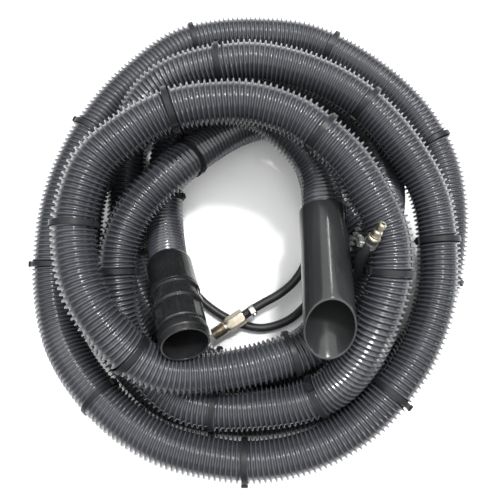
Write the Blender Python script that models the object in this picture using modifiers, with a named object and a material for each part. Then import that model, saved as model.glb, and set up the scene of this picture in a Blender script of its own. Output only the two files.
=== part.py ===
"""A vacuum hose with an air line tied along it, laid up in a loose coil.

The suction hose starts in a swivel cuff, makes five and a half turns in three
layers, and ends in a pipe nozzle with a slanted mouth.  A rubber air line runs
along its underside and leaves it as a free tail at each end: one ends in a
threaded fitting, the other in a quick-connect plug.

Units: metres, +Z up.  The floor is z = 0 and the coil stands round the origin.
Lengths written in millimetres are named _MM or multiplied by MM.
"""
import math

import bmesh
import bpy
import numpy as np
from mathutils import Matrix, Vector

MM = 0.001
GAP = 0.3                   # play between pieces that touch, mm

# Driving dimensions, mm
HOSE_R = 29.0               # over the ribs of a 2 inch suction hose
HOSE_WALL = 2.5
LINE_R = 7.0                # rubber air line, 14 mm over its cover
TURN_GAP = 5.0              # room kept between two turns of the hose, for the ties
LINE_GAP = 4.0              # room kept between the air line and a neighbouring turn
FIRST_TIE = 165.0           # place of the first cable tie along the hose
TIE_START = 448.0           # place of the second, where the even ties begin
INNER_TIE_PITCH = 206.0     # ties on the inner turns
INNER_TIES = 19             # pitches before the outer turns begin
OUTER_TIE_PITCH = 229.2
TIE_END_ROOM = 110.0        # hose left without ties before the nozzle
# Ties moved along the hose, by number, to where their straps have room.
TIE_MOVES = {
    2: 9.0, 4: 36.0, 6: 20.0, 12: -58.0, 15: 42.0, 16: -60.0, 19: 20.0, 20: 6.0,
    35: -15.0, 36: 5.0, 37: -50.0,
}
TIE_WIDTH = 7.6
TIE_THICK = 1.3
HEAD_ROOM = 14.0            # room past which a tie's head isn't turned any further
TIE_SLACK = 1.7             # room between a tie's corners and the hose
CUFF_LENGTH = 151.0
CUFF_SOCKET = 38.0          # hose length held inside the cuff
CUFF_R = 32.0               # over the cuff, its rings left out
END_GAP = 4.0               # room kept between a turn and the cuff or the nozzle
NOZZLE_R = 33.0
NOZZLE_LONG = 200.0         # lower side of the pipe
NOZZLE_SHORT = 142.0        # upper side
NOZZLE_WALL = 2.5
NOZZLE_SOCKET = 43.0        # hose length held inside the nozzle

# Centreline of the hose, mm, from inside the cuff to inside the nozzle.  Each
# row is a stretch between two landmarks.  The turns are pushed clear of each
# other by settle(), so these points only have to be right to a centimetre.
ROUTE = [
    # from the cuff, along the floor, over the top of the coil and its right side
    (-114, -65, 119), (-120, -49, 104), (-130, -21, 79), (-137, 3, 62), (-143, 40, 49),
    (-144, 90, 46), (-134, 160, 46), (-78, 240, 46), (-40, 262, 46), (5, 270, 46),
    (60, 256, 46), (115, 232, 46), (165, 197, 46), (202, 150, 46), (218, 100, 50),
    (214, 55, 76), (195, 9, 106), (171, -34, 108), (152, -76, 97), (118, -124, 107),
    # third turn: across the bottom, up the left side on top of the others
    (81, -160, 117), (41, -172, 122), (0, -180, 126), (-60, -185, 128), (-108, -181, 138),
    (-153, -156, 156), (-189, -112, 176), (-212, -72, 181), (-226, -16, 181), (-226, 28, 182),
    (-204, 90, 187), (-165, 125, 187), (-134, 146, 187), (-98, 160, 188), (-50, 167, 189),
    (0, 166, 190), (61, 144, 190), (90, 121, 190), (121, 92, 188), (148, 48, 187),
    (170, -2, 184), (172, -60, 181), (161, -104, 174), (148, -142, 160), (132, -176, 142),
    # second turn: down one layer, across the bottom and up the left side
    (106, -208, 124), (69, -228, 114), (0, -240, 106), (-55, -240, 103), (-98, -228, 100),
    (-136, -194, 99), (-164, -150, 100), (-180, -108, 108), (-186, -68, 116), (-187, -11, 119),
    (-173, 31, 122), (-152, 64, 123), (-127, 92, 121), (-102, 122, 107), (-76, 151, 88),
    (-46, 178, 70), (-14, 198, 56), (20, 206, 48),
    # hidden lowest turn
    (55, 196, 46), (85, 168, 46), (110, 132, 46), (138, 90, 46), (170, 45, 46), (203, -5, 46),
    (207, -78, 46), (157, -158, 46), (78, -193, 46), (0, -202, 46), (-68, -192, 46),
    (-138, -142, 46), (-180, -80, 46), (-198, 0, 46), (-200, 95, 46), (-198, 165, 52),
    # outer turn of the second layer
    (-184, 200, 72), (-148, 233, 94), (-111, 249, 106), (-48, 259, 117), (0, 261, 120),
    (73, 244, 120), (134, 214, 118), (176, 178, 116), (214, 130, 114), (250, 60, 112),
    (260, -11, 112), (255, -80, 114), (230, -149, 117), (197, -197, 120), (149, -246, 118),
    (80, -284, 114), (0, -298, 110), (-68, -289, 108), (-125, -272, 104),
    # outermost turn, down to the floor
    (-183, -240, 96), (-240, -190, 80), (-284, -132, 60), (-307, -58, 49), (-309, -4, 49),
    (-301, 74, 48), (-276, 146, 48), (-238, 211, 47), (-190, 268, 47), (-116, 326, 47),
    (-57, 343, 46), (0, 347, 46), (82, 340, 46), (139, 317, 46), (212, 266, 46),
    (267, 207, 46), (304, 132, 46), (315, 51, 46), (308, -20, 46), (293, -82, 46),
    # in under the outer turns, up the left side and over the top to the nozzle
    (258, -150, 46), (205, -205, 46), (140, -243, 46), (72, -264, 46), (0, -272, 46),
    (-70, -264, 46), (-132, -243, 46), (-186, -194, 48), (-226, -128, 60), (-250, -68, 76),
    (-254, 0, 88), (-246, 53, 102), (-222, 106, 115), (-177, 149, 122), (-122, 168, 123),
    (-49, 187, 122), (15, 176, 120), (61, 142, 115), (88, 108, 112), (98, 70, 118),
    (98, 42, 130), (97, -7, 150),
]
# Free tails of the air line, mm, each listed from the hose to its fitting.
PLUG_TAIL = [
    (-139, 50, 11), (-134, 15, 12), (-124, -25, 12), (-108, -60, 11), (-86, -90, 9),
    (-40, -122, 8.5), (12, -137, 8.5), (55, -126, 10), (80, -106, 22), (91, -88, 45),
    (94, -77, 72), (96, -67, 101), (106, -54, 130), (134, -61, 144), (140, -51, 160),
    (137, -43, 177), (136, -35, 194), (138, -27, 210), (144, -15.5, 222),
]
THREAD_TAIL = [
    (92, 98, 74), (97, 62, 70), (97, 28, 60), (92, -8, 44), (82, -38, 33), (66, -62, 29.5),
    (42, -82, 29.5), (20, -94, 29.5), (-2.7, -107.5, 29.5), (-14.2, -115.5, 29.5),
]

CENTRING = (4.2, -16.4, -0.5)  # moves the whole coil over the origin, down onto z = 0

# Places along the settled hose where the air line leaves it, mm from each end
LINE_START = 105.0
LINE_END = 105.0

SAMPLE_STEP = 25.0          # spacing of the settled centreline
INNER_STEP = 52.0           # spacing of the solids' rings on the tighter inner turns
OUTER_STEP = 76.0
OWN_STRETCH = 156.0         # a stretch this near along the hose is no obstacle
TAIL_STEP = 35.0            # the same on the air line's free tails
SETTLE_ROUNDS = 200


# ---------------------------------------------------------------- centreline
def even_curve(points, step):
    """Points at an even spacing along a smooth curve through the given ones."""
    p = np.asarray(points, float)
    p = np.vstack([2 * p[0] - p[1], p, 2 * p[-1] - p[-2]])
    u = np.linspace(0, 1, 40, endpoint=False)[:, None]
    dense = []
    for p0, p1, p2, p3 in zip(p[:-3], p[1:-2], p[2:-1], p[3:]):
        a, b, c = (math.sqrt(np.linalg.norm(q - r)) for q, r in ((p1, p0), (p2, p1), (p3, p2)))
        m1 = b * ((p1 - p0) / a - (p2 - p0) / (a + b) + (p2 - p1) / b)
        m2 = b * ((p2 - p1) / b - (p3 - p1) / (b + c) + (p3 - p2) / c)
        dense.append((2 * u**3 - 3 * u**2 + 1) * p1 + (u**3 - 2 * u**2 + u) * m1
                     + (3 * u**2 - 2 * u**3) * p2 + (u**3 - u**2) * m2)
    dense = np.vstack(dense + [p[-2:-1]])
    along = np.r_[0, np.cumsum(np.linalg.norm(np.diff(dense, axis=0), axis=1))]
    wanted = np.linspace(0, along[-1], max(2, round(along[-1] / step) + 1))
    return np.column_stack([np.interp(wanted, along, dense[:, k]) for k in range(3)])


def hose_frames(path):
    """Tangent, downward and sideways directions at each point of a path."""
    tangent = np.gradient(path, axis=0)
    tangent /= np.linalg.norm(tangent, axis=1)[:, None]
    down = np.array([0, 0, -1.0]) + tangent[:, 2:3] * tangent
    down /= np.linalg.norm(down, axis=1)[:, None]
    return tangent, down, np.cross(tangent, down)


def line_direction(path, roll):
    """Direction from the hose's centre to the air line, turned by roll from straight down."""
    _, down, side = hose_frames(path)
    return np.cos(roll)[:, None] * down + np.sin(roll)[:, None] * side


LINE_OFFSET = HOSE_R + LINE_R + 0.4


def shove(points, places, others, other_places, reach):
    """Mean move that takes each point out of reach of the others, its own stretch left out."""
    apart = points[:, None, :] - others[None, :, :]
    distance = np.linalg.norm(apart, axis=2)
    distance[np.abs(places[:, None] - other_places[None, :]) < OWN_STRETCH] = 1e9
    depth = np.clip(reach - distance, 0, None)
    total = (apart * (depth / distance)[:, :, None]).sum(axis=1)
    return total / np.maximum((depth > 0).sum(axis=1), 1)[:, None]


def blur(values, strength):
    """Smooth a row of values along the hose, the ends left as they are."""
    out = values.copy()
    out[1:-1] = (1 - 2 * strength) * values[1:-1] + strength * (values[:-2] + values[2:])
    return out


def straight_on(path, reach):
    """Points straight on from the end of a path, for the piece that holds it."""
    axis = (path[-1] - path[-2]) / np.linalg.norm(path[-1] - path[-2])
    return path[-1] + np.arange(SAMPLE_STEP, reach, SAMPLE_STEP)[:, None] * axis


def settle(start):
    """Push the turns and the air line clear of each other, the end pieces and the floor.

    Returns the hose's centreline and the air line's roll about it.  The two
    ends stay where they are, because the cuff and the nozzle hold them.
    """
    cuff = straight_on(start[::-1], CUFF_LENGTH - CUFF_SOCKET + SAMPLE_STEP)
    nozzle = straight_on(start, NOZZLE_LONG - NOZZLE_SOCKET)
    ends = np.vstack([cuff, nozzle])
    end_radius = np.r_[np.full(len(cuff), CUFF_R), np.full(len(nozzle), NOZZLE_R)]
    places = np.arange(len(start)) * SAMPLE_STEP
    last = places[-1]
    end_places = np.r_[-SAMPLE_STEP * np.arange(1, len(cuff) + 1),
                       last + SAMPLE_STEP * np.arange(1, len(nozzle) + 1)]
    moved = np.zeros_like(start)
    roll = np.zeros(len(start))
    free = np.clip((np.minimum(places, last - places) - 70) / 100, 0, 1)[:, None]
    for _ in range(SETTLE_ROUNDS):
        hose = start + moved
        toward = line_direction(hose, roll)
        _, down, side = hose_frames(hose)
        around = -np.sin(roll)[:, None] * down + np.cos(roll)[:, None] * side
        move = 0.6 * shove(hose, places, hose, places, 2 * HOSE_R + TURN_GAP)
        move += 0.6 * shove(hose, places, ends, end_places, HOSE_R + END_GAP + end_radius)
        for share, radius in ((1.0, LINE_R), (0.5, (HOSE_R + LINE_R) / 2)):
            beside = hose + share * LINE_OFFSET * toward
            reach = radius + HOSE_R + LINE_GAP
            pushed = shove(beside, places, hose, places, reach)
            pushed += shove(beside, places, ends, end_places, radius + LINE_GAP + end_radius)
            pushed[:, 2] += np.clip(radius + TIE_SLACK + TIE_THICK + 1 - beside[:, 2], 0, None)
            roll = roll + 0.6 * (pushed * around).sum(axis=1) / LINE_OFFSET
            move += 0.7 * shove(hose, places, beside, places, reach)
            move += 0.6 * (pushed * toward).sum(axis=1)[:, None] * toward
        roll = blur(blur(0.999 * roll, 0.25), 0.25)
        move[:, 2] += np.clip(HOSE_R + 2 - hose[:, 2], 0, None)
        moved = moved + move * free
        moved = 0.998 * (moved + (blur(blur(moved, 0.25), 0.25) - moved) * free)
    return start + moved, roll


class Lay:
    """The settled hose: places along it, by arc length in mm."""

    def __init__(self):
        path, self.roll = settle(even_curve(ROUTE, SAMPLE_STEP))
        self.path = path + np.array(CENTRING)
        steps = np.linalg.norm(np.diff(self.path, axis=0), axis=1)
        self.along = np.r_[0, np.cumsum(steps)]
        self.length = self.along[-1]
        self.tangent = hose_frames(self.path)[0]
        self.toward = line_direction(self.path, self.roll)

    def at(self, s):
        """Centre, tangent and direction to the air line at arc length s."""
        rows = (self.path, self.tangent, self.toward)
        return [np.array([np.interp(s, self.along, row[:, k]) for k in range(3)]) for row in rows]

    def line_at(self, s):
        """Centre of the air line under arc length s of the hose."""
        centre, _, toward = self.at(s)
        return centre + LINE_OFFSET * toward


# ---------------------------------------------------------------- helpers
def new_collection(name):
    collection = bpy.data.collections.new(name)
    bpy.context.scene.collection.children.link(collection)
    return collection


def new_material(name, colour, roughness, metallic=0.0):
    material = bpy.data.materials.new(name)
    material.use_nodes = True
    shader = material.node_tree.nodes["Principled BSDF"]
    shader.inputs["Base Color"].default_value = (*colour, 1.0)
    shader.inputs["Roughness"].default_value = roughness
    shader.inputs["Metallic"].default_value = metallic
    return material


def add_object(name, data, material, collection):
    obj = bpy.data.objects.new(name, data)
    if material:
        data.materials.clear()
        data.materials.append(material)
    collection.objects.link(obj)
    return obj


def from_bmesh(name, bm, material, collection, crease_deg=35):
    mesh = bpy.data.meshes.new(name)
    bmesh.ops.recalc_face_normals(bm, faces=bm.faces)
    bm.to_mesh(mesh)
    bm.free()
    mesh.shade_smooth()
    mesh.set_sharp_from_angle(angle=math.radians(crease_deg))
    return add_object(name, mesh, material, collection)


def to_mesh(obj):
    """Swap an object for one with its evaluated mesh, its caps welded."""
    bpy.context.view_layer.update()
    graph = bpy.context.evaluated_depsgraph_get()
    mesh = bpy.data.meshes.new_from_object(obj.evaluated_get(graph))
    bm = bmesh.new()
    bm.from_mesh(mesh)
    bmesh.ops.remove_doubles(bm, verts=bm.verts, dist=0.00001)
    bmesh.ops.recalc_face_normals(bm, faces=bm.faces)
    bm.to_mesh(mesh)
    bm.free()
    name, matrix, collection = obj.name, obj.matrix_world.copy(), obj.users_collection[0]
    material = obj.data.materials[0] if obj.data.materials else None
    bpy.data.objects.remove(obj)
    out = add_object(name, mesh, material, collection)
    out.name = name
    out.matrix_world = matrix
    return out


def sweep(name, points, radius, material, collection, caps=True):
    """A round tube along points given in mm."""
    curve = bpy.data.curves.new(name, "CURVE")
    curve.dimensions = "3D"
    curve.bevel_depth = radius * MM
    curve.bevel_resolution = 2
    curve.use_fill_caps = caps
    spline = curve.splines.new("POLY")
    spline.points.add(len(points) - 1)
    for point, place in zip(spline.points, points):
        point.co = (*(float(c) * MM for c in place), 1.0)
    return add_object(name, curve, material, collection)


def turned(name, profile, frame, material, collection, steps=24):
    """A turned piece: a closed profile of (radius, height) in mm about the frame's Z.

    The profile runs down its outer side and back up its inner side.
    """
    bm = bmesh.new()
    verts = [bm.verts.new((r * MM, 0, z * MM)) for r, z in profile]
    solid = profile[0][0] == 0
    for a, b in zip(verts, verts[1:] + ([] if solid else verts[:1])):
        bm.edges.new((a, b))
    mesh = bpy.data.meshes.new(name)
    bm.to_mesh(mesh)
    bm.free()
    obj = add_object(name, mesh, material, collection)
    obj.matrix_world = frame
    screw = obj.modifiers.new("Turn", "SCREW")
    screw.steps = screw.render_steps = steps
    screw.use_merge_vertices = True
    screw.merge_threshold = 0.00001
    screw.use_smooth_shade = True
    return obj


def frame_at(origin_mm, z_axis, x_hint=(1, 0, 0)):
    """A matrix with its Z along z_axis and its X near x_hint."""
    z = Vector(z_axis).normalized()
    y = z.cross(Vector(x_hint)).normalized()
    x = y.cross(z)
    matrix = Matrix((x, y, z)).transposed().to_4x4()
    matrix.translation = Vector(origin_mm) * MM
    return matrix


def cut(obj, cutter, operation="DIFFERENCE"):
    """Boolean with a cutter that stays hidden in the cutters' collection."""
    modifier = obj.modifiers.new(cutter.name, "BOOLEAN")
    modifier.operation = operation
    modifier.object = cutter
    cutter.hide_render = True
    cutter.display_type = "WIRE"


def block(name, size_mm, frame, material, collection, bevel_mm=0.0):
    """A box centred on the frame's origin."""
    bm = bmesh.new()
    bmesh.ops.create_cube(bm, size=1.0)
    bmesh.ops.scale(bm, vec=Vector(size_mm) * MM, verts=bm.verts)
    if bevel_mm:
        bmesh.ops.bevel(bm, geom=bm.edges, offset=bevel_mm * MM, segments=1, affect="EDGES")
    obj = from_bmesh(name, bm, material, collection)
    obj.matrix_world = frame
    return obj


def rod(name, radius, z0, z1, frame, material, collection, sides=16):
    """A cylinder or prism along the frame's Z, from z0 to z1 mm."""
    bm = bmesh.new()
    bmesh.ops.create_cone(bm, cap_ends=True, segments=sides, radius1=radius * MM,
                          radius2=radius * MM, depth=(z1 - z0) * MM)
    bmesh.ops.translate(bm, vec=(0, 0, (z0 + z1) / 2 * MM), verts=bm.verts)
    obj = from_bmesh(name, bm, material, collection)
    obj.matrix_world = frame
    return obj


# ---------------------------------------------------------------- hose and line
def tie_places(lay):
    """Arc lengths of the ties: closer together on the inner turns than on the outer ones."""
    turning = TIE_START + INNER_TIES * INNER_TIE_PITCH
    places = [FIRST_TIE] + [TIE_START + k * INNER_TIE_PITCH for k in range(INNER_TIES)]
    places += list(np.arange(turning, lay.length - TIE_END_ROOM, OUTER_TIE_PITCH))
    for number, move in TIE_MOVES.items():
        places[number - 1] += move
    return places


def ring_places(lay):
    """Arc lengths of the solids' rings: one at every tie and two or three between."""
    stops = [0.0] + tie_places(lay) + [lay.length]
    turning = TIE_START + INNER_TIES * INNER_TIE_PITCH
    places = []
    for a, b in zip(stops, stops[1:]):
        step = INNER_STEP if b < turning + 1 or b == lay.length else OUTER_STEP
        places += list(np.linspace(a, b, max(1, round((b - a) / step)), endpoint=False))
    return places + [lay.length]


def make_hose(lay, parts, materials):
    """The suction hose, as the plain tube over its ribs."""
    rings = [lay.at(s)[0] for s in ring_places(lay)]
    hose = to_mesh(sweep("vacuum_hose", rings, HOSE_R, materials["hose"], parts, caps=False))
    wall = hose.modifiers.new("Wall", "SOLIDIFY")
    wall.thickness = HOSE_WALL * MM
    wall.offset = -1
    hose.data.shade_smooth()


def tail_points(tail):
    """A free tail's points, moved with the coil over the origin."""
    return [tuple(np.array(point) + CENTRING) for point in tail]


def make_line(lay, parts, materials):
    """The rubber air line, from its plug to its threaded fitting."""
    tied = [s for s in ring_places(lay) if LINE_START < s < lay.length - LINE_END]
    held = [tuple(lay.line_at(s)) for s in tied]
    start = even_curve(tail_points(PLUG_TAIL)[::-1] + held[:3], TAIL_STEP)
    end = even_curve(held[-3:] + tail_points(THREAD_TAIL), TAIL_STEP)
    rings = list(start) + held[3:-3] + list(end)
    line = to_mesh(sweep("air_line", rings, LINE_R, materials["rubber"], parts))
    line.data.shade_smooth()


# ---------------------------------------------------------------- cable ties
def strap_outline(extra):
    """A loop round the hose and the air line, the line straight down, in mm."""
    big, small = HOSE_R + TIE_SLACK + extra, LINE_R + TIE_SLACK + extra
    spread = math.acos((big - small) / LINE_OFFSET)
    step = (2 * math.pi - 2 * spread) / 11
    loop = [(big, spread + k * step, 0.0) for k in range(12)]
    loop += [(small, -spread + k * spread, LINE_OFFSET) for k in range(3)]
    return [(r * math.sin(a), -drop - r * math.cos(a)) for r, a, drop in loop]


def strap(name, frame, material, collection):
    """A flat band between an inner and an outer loop."""
    bm = bmesh.new()
    loops = []
    for extra, side in ((0, -1), (0, 1), (TIE_THICK, 1), (TIE_THICK, -1)):
        row = [Vector((x, y, side * TIE_WIDTH / 2)) * MM for x, y in strap_outline(extra)]
        loops.append([bm.verts.new(v) for v in row])
    count = len(loops[0])
    for k, loop in enumerate(loops):
        other = loops[(k + 1) % 4]
        for i in range(count):
            j = (i + 1) % count
            bm.faces.new((loop[i], loop[j], other[j], other[i]))
    band = from_bmesh(name, bm, material, collection)
    band.matrix_world = frame
    return band


def tie_frame(lay, s):
    """Frame of a tie: Z along the hose, -Y towards the air line."""
    centre, tangent, toward = lay.at(s)
    return frame_at(centre, tangent, np.cross(-toward, tangent))


def head_turn(lay, s, frame):
    """Where a tie's head has most room, in radians round the hose from the air line."""
    elsewhere = np.abs(lay.along - s) > 4 * HOSE_R
    line = lay.path + LINE_OFFSET * lay.toward
    best_room, best_angle = -HOSE_R, 0.0
    for degrees in range(-180, 180, 15):
        if abs(degrees) < 75:
            continue
        angle = math.radians(degrees)
        spoke = Vector((math.sin(angle), -math.cos(angle), 0)) * (HOSE_R + 5) * MM
        head = np.array(frame @ spoke) / MM
        from_hose = np.linalg.norm(lay.path - head, axis=1)[elsewhere].min() - HOSE_R
        from_line = np.linalg.norm(line - head, axis=1)[elsewhere].min() - LINE_R
        room = min(from_hose, from_line, HEAD_ROOM) - 0.01 * abs(abs(degrees) - 110)
        if room > best_room:
            best_room, best_angle = room, angle
    return best_angle


def make_tie(name, lay, s, parts, cutters, materials):
    """A strap with the square head that locks it."""
    frame = tie_frame(lay, s)
    band = strap(name, frame, materials["tie"], parts)
    turn = Matrix.Rotation(head_turn(lay, s, frame) + math.pi, 4, "Z")
    out = Matrix.Translation((0, (HOSE_R + TIE_SLACK + 2.0) * MM, 0))
    head = block(name + "_head", (8.5, 3.8, 9.5), frame @ turn @ out, None, cutters)
    cut(band, head, "UNION")


def make_ties(lay, parts, cutters, materials):
    """The ties that hold the air line to the hose, numbered from the cuff."""
    for k, s in enumerate(tie_places(lay)):
        make_tie(f"cable_tie_{k + 1:02d}", lay, s, parts, cutters, materials)


# ---------------------------------------------------------------- swivel cuff
def cuff_frame(lay):
    """Z along the cuff towards its mouth, the origin at the collar's lip."""
    axis = lay.path[0] - lay.path[1]
    axis /= np.linalg.norm(axis)
    return frame_at(lay.path[0] - CUFF_SOCKET * axis, axis)


def make_cuff(lay, parts, materials):
    frame = cuff_frame(lay)
    black = materials["cuff"]
    collar = [(30.2, 0), (31.5, 0), (33, 5), (33, 57), (34.2, 58), (34.2, 62), (29.5, 62), (29.5, 70),
              (28.2, 70), (28.2, 73), (29.5, 73), (29.5, 86), (25, 86), (25, 39), (30.2, 39)]
    turned("cuff_collar", collar[::-1], frame, black, parts)
    body = [(29.9, 62.5), (34.2, 62.5), (34.2, 66.5), (32.4, 67), (32.4, 83), (34.5, 84.5), (34.5, 92),
            (32, 93), (32, 125), (30.8, 126), (30.8, 129.5), (31.8, 131), (31.8, 140),
            (30.8, CUFF_LENGTH), (28.6, CUFF_LENGTH), (26.5, 120), (26.5, 89.2), (29.9, 89.2),
            (29.9, 73), (31.2, 73), (31.2, 70), (29.9, 70)]
    turned("cuff_swivel_body", body[::-1], frame, black, parts)
    ring = [(28.6, 70.6), (30.8, 70.6), (30.8, 72.4), (28.6, 72.4)]
    turned("cuff_retaining_ring", ring[::-1], frame, materials["steel"], parts)
    seal = [(25.5, 86.4), (29.5, 86.4), (29.5, 88.8), (25.5, 88.8)]
    turned("cuff_seal", seal[::-1], frame, materials["rubber"], parts)


# ---------------------------------------------------------------- nozzle
def nozzle_frame(lay):
    """Z along the pipe towards its mouth, -Y on its upper side, the origin at its hose end."""
    axis = lay.path[-1] - lay.path[-2]
    axis /= np.linalg.norm(axis)
    return frame_at(lay.path[-1] - NOZZLE_SOCKET * axis, axis)


def make_nozzle(lay, parts, cutters, materials):
    """A plain pipe, its mouth cut on a slant so that the lower side is the longer."""
    frame = nozzle_frame(lay)
    inner = NOZZLE_R - NOZZLE_WALL
    pipe = [(inner, 0), (NOZZLE_R, 0), (NOZZLE_R, NOZZLE_LONG + 4), (inner, NOZZLE_LONG + 4)]
    tube = turned("nozzle_tube", pipe[::-1], frame, materials["pipe"], parts, steps=32)
    tilt = math.atan2(NOZZLE_LONG - NOZZLE_SHORT, 2 * NOZZLE_R)
    size = 200.0
    upper = frame.inverted().to_3x3() @ Vector((0, 0, 1))
    upper.z = 0
    turn = Matrix.Rotation(math.atan2(upper.y, upper.x), 4, "Z")
    middle = Matrix.Translation((0, 0, (NOZZLE_LONG + NOZZLE_SHORT) / 2 * MM))
    slant = frame @ turn @ middle @ Matrix.Rotation(tilt, 4, "Y")
    slant = slant @ Matrix.Translation((0, 0, size / 2 * MM))
    cut(tube, block("nozzle_slant", (size, size, size), slant, None, cutters))
    stop = NOZZLE_SOCKET + GAP
    ring = [(25, stop), (inner - GAP, stop), (inner - GAP, stop + 4), (25, stop + 4)]
    turned("nozzle_gasket", ring[::-1], frame, materials["rubber"], parts)


# ---------------------------------------------------------------- air line ends
def end_frame(tail, x_hint):
    """Frame at the end of the line, Z straight on."""
    curve = even_curve(tail_points(tail), TAIL_STEP)
    return frame_at(curve[-1], curve[-1] - curve[-2], x_hint)


def make_clamp(prefix, back_mm, frame, parts, materials):
    """A worm-drive clamp on the line, back_mm behind the fitting: band, housing and screw."""
    steel = materials["steel"]
    here = frame @ Matrix.Translation((0, 0, -back_mm * MM))
    bore, outer, half = LINE_R + GAP + 0.2, LINE_R + 1.7, 4.5
    band = [(bore, -half), (outer, -half), (outer, half), (bore, half)]
    turned(prefix + "_band", band[::-1], here, steel, parts, steps=20)
    lift = outer + GAP + 3.6
    seat = here @ Matrix.Translation((lift * MM, 0, 0))
    housing = block(prefix + "_housing", (7.2, 11, 9.5), seat, steel, parts, bevel_mm=0.8)
    across = seat @ Matrix.Rotation(math.pi / 2, 4, "X")
    bore_cutter = rod(prefix + "_screw_bore", 2.6, -8, 8, across, None, parts, sides=14)
    move_to_cutters(bore_cutter)
    cut(housing, bore_cutter)
    screw = rod(prefix + "_screw", 2.2, -7, 6.5, across, steel, parts, sides=14)
    head = rod(prefix + "_screw_head", 4.0, 6.0, 9.5, across, None, parts, sides=6)
    move_to_cutters(head)
    cut(screw, head, "UNION")


def move_to_cutters(obj):
    cutters = bpy.data.collections["cutters"]
    for collection in obj.users_collection:
        collection.objects.unlink(obj)
    cutters.objects.link(obj)


def make_thread_fitting(parts, materials):
    """The threaded end: a hexagon, a neck and a pipe thread."""
    frame = end_frame(THREAD_TAIL, (0, 0, 1))
    brass = materials["nickel"]
    fitting = rod("thread_fitting", 12.6, GAP, 31, frame, brass, parts, sides=6)
    shank = turned("thread_shank", [(0, 58), (9.2, 58), (10.4, 56.5), (10.4, 35.5), (9.2, 34.5),
                                    (9.2, 28), (0, 28)], frame, None, parts, steps=20)
    move_to_cutters(shank)
    cut(fitting, shank, "UNION")
    make_clamp("thread_clamp", 16, frame, parts, materials)


def make_quick_plug(parts, materials):
    """The quick-connect plug: a collar, a barrel, a groove and a nose."""
    frame = end_frame(PLUG_TAIL, (-0.8, 0.4, 0.5))
    plug = [(0, 27), (3.6, 27), (5.0, 25), (5.0, 20), (3.8, 18.5), (3.8, 15.5), (5.6, 14),
            (6.2, 12), (6.2, 4.5), (8.0, 4), (8.0, 1), (7, GAP), (0, GAP)]
    turned("quick_plug", plug, frame, materials["nickel"], parts, steps=20)
    make_clamp("plug_clamp", 9, frame, parts, materials)


def main():
    for obj in list(bpy.data.objects):
        bpy.data.objects.remove(obj)
    parts = new_collection("vacuum_hose")
    cutters = new_collection("cutters")
    materials = {
        "hose": new_material("hose_grey", (0.075, 0.078, 0.086), 0.38),
        "rubber": new_material("rubber_black", (0.022, 0.023, 0.026), 0.62),
        "tie": new_material("tie_black", (0.012, 0.012, 0.013), 0.42),
        "cuff": new_material("cuff_black", (0.016, 0.017, 0.019), 0.36),
        "pipe": new_material("pipe_grey", (0.040, 0.042, 0.047), 0.16),
        "steel": new_material("clamp_steel", (0.62, 0.61, 0.58), 0.32, 1.0),
        "nickel": new_material("fitting_nickel", (0.60, 0.56, 0.49), 0.30, 1.0),
    }
    lay = Lay()
    make_hose(lay, parts, materials)
    make_line(lay, parts, materials)
    make_ties(lay, parts, cutters, materials)
    make_cuff(lay, parts, materials)
    make_nozzle(lay, parts, cutters, materials)
    make_thread_fitting(parts, materials)
    make_quick_plug(parts, materials)


main()
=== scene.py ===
"""Looks of the vacuum hose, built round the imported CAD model.

The ribbed hose, the rubber air line, the cable ties, the cuff, the nozzle and the
fittings are made again here as finer meshes, where their CAD solids lie.  The coil is
worked out from the same route and by the same settling as the CAD's, so both agree.

Units: lengths are millimetres until MM turns them into metres.
"""
import math

import bmesh
import bpy
import numpy as np
from mathutils import Matrix, Vector

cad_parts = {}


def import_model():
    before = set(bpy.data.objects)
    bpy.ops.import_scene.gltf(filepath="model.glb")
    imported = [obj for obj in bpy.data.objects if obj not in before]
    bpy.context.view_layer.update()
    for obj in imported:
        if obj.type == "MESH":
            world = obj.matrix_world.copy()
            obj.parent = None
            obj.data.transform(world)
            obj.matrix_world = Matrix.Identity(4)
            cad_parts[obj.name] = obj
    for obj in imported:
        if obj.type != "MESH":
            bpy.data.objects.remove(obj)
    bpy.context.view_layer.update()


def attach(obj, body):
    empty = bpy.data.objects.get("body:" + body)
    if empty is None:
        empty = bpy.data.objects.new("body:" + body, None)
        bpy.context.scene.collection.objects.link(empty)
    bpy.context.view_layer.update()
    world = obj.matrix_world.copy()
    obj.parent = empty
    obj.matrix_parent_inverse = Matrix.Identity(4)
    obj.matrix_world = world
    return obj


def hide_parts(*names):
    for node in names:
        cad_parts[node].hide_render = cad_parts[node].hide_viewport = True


MM = 0.001

# The CAD's driving dimensions, mm
HOSE_R = 29.0
LINE_R = 7.0
TURN_GAP = 5.0
LINE_GAP = 4.0
FIRST_TIE = 165.0
TIE_START = 448.0
INNER_TIE_PITCH = 206.0
INNER_TIES = 19
OUTER_TIE_PITCH = 229.2
TIE_END_ROOM = 110.0
TIE_MOVES = {
    2: 9.0, 4: 36.0, 6: 20.0, 12: -58.0, 15: 42.0, 16: -60.0, 19: 20.0, 20: 6.0,
    35: -15.0, 36: 5.0, 37: -50.0,
}
TIE_WIDTH = 7.6
TIE_THICK = 1.3
HEAD_ROOM = 14.0
TIE_SLACK = 1.7
CUFF_LENGTH = 151.0
CUFF_SOCKET = 38.0
CUFF_R = 32.0
END_GAP = 4.0
NOZZLE_R = 33.0
NOZZLE_LONG = 200.0
NOZZLE_SHORT = 142.0
NOZZLE_WALL = 2.5
NOZZLE_SOCKET = 43.0
LINE_START = 105.0
LINE_END = 105.0
SAMPLE_STEP = 25.0
OWN_STRETCH = 156.0
SETTLE_ROUNDS = 200
TAIL_STEP = 35.0

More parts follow.
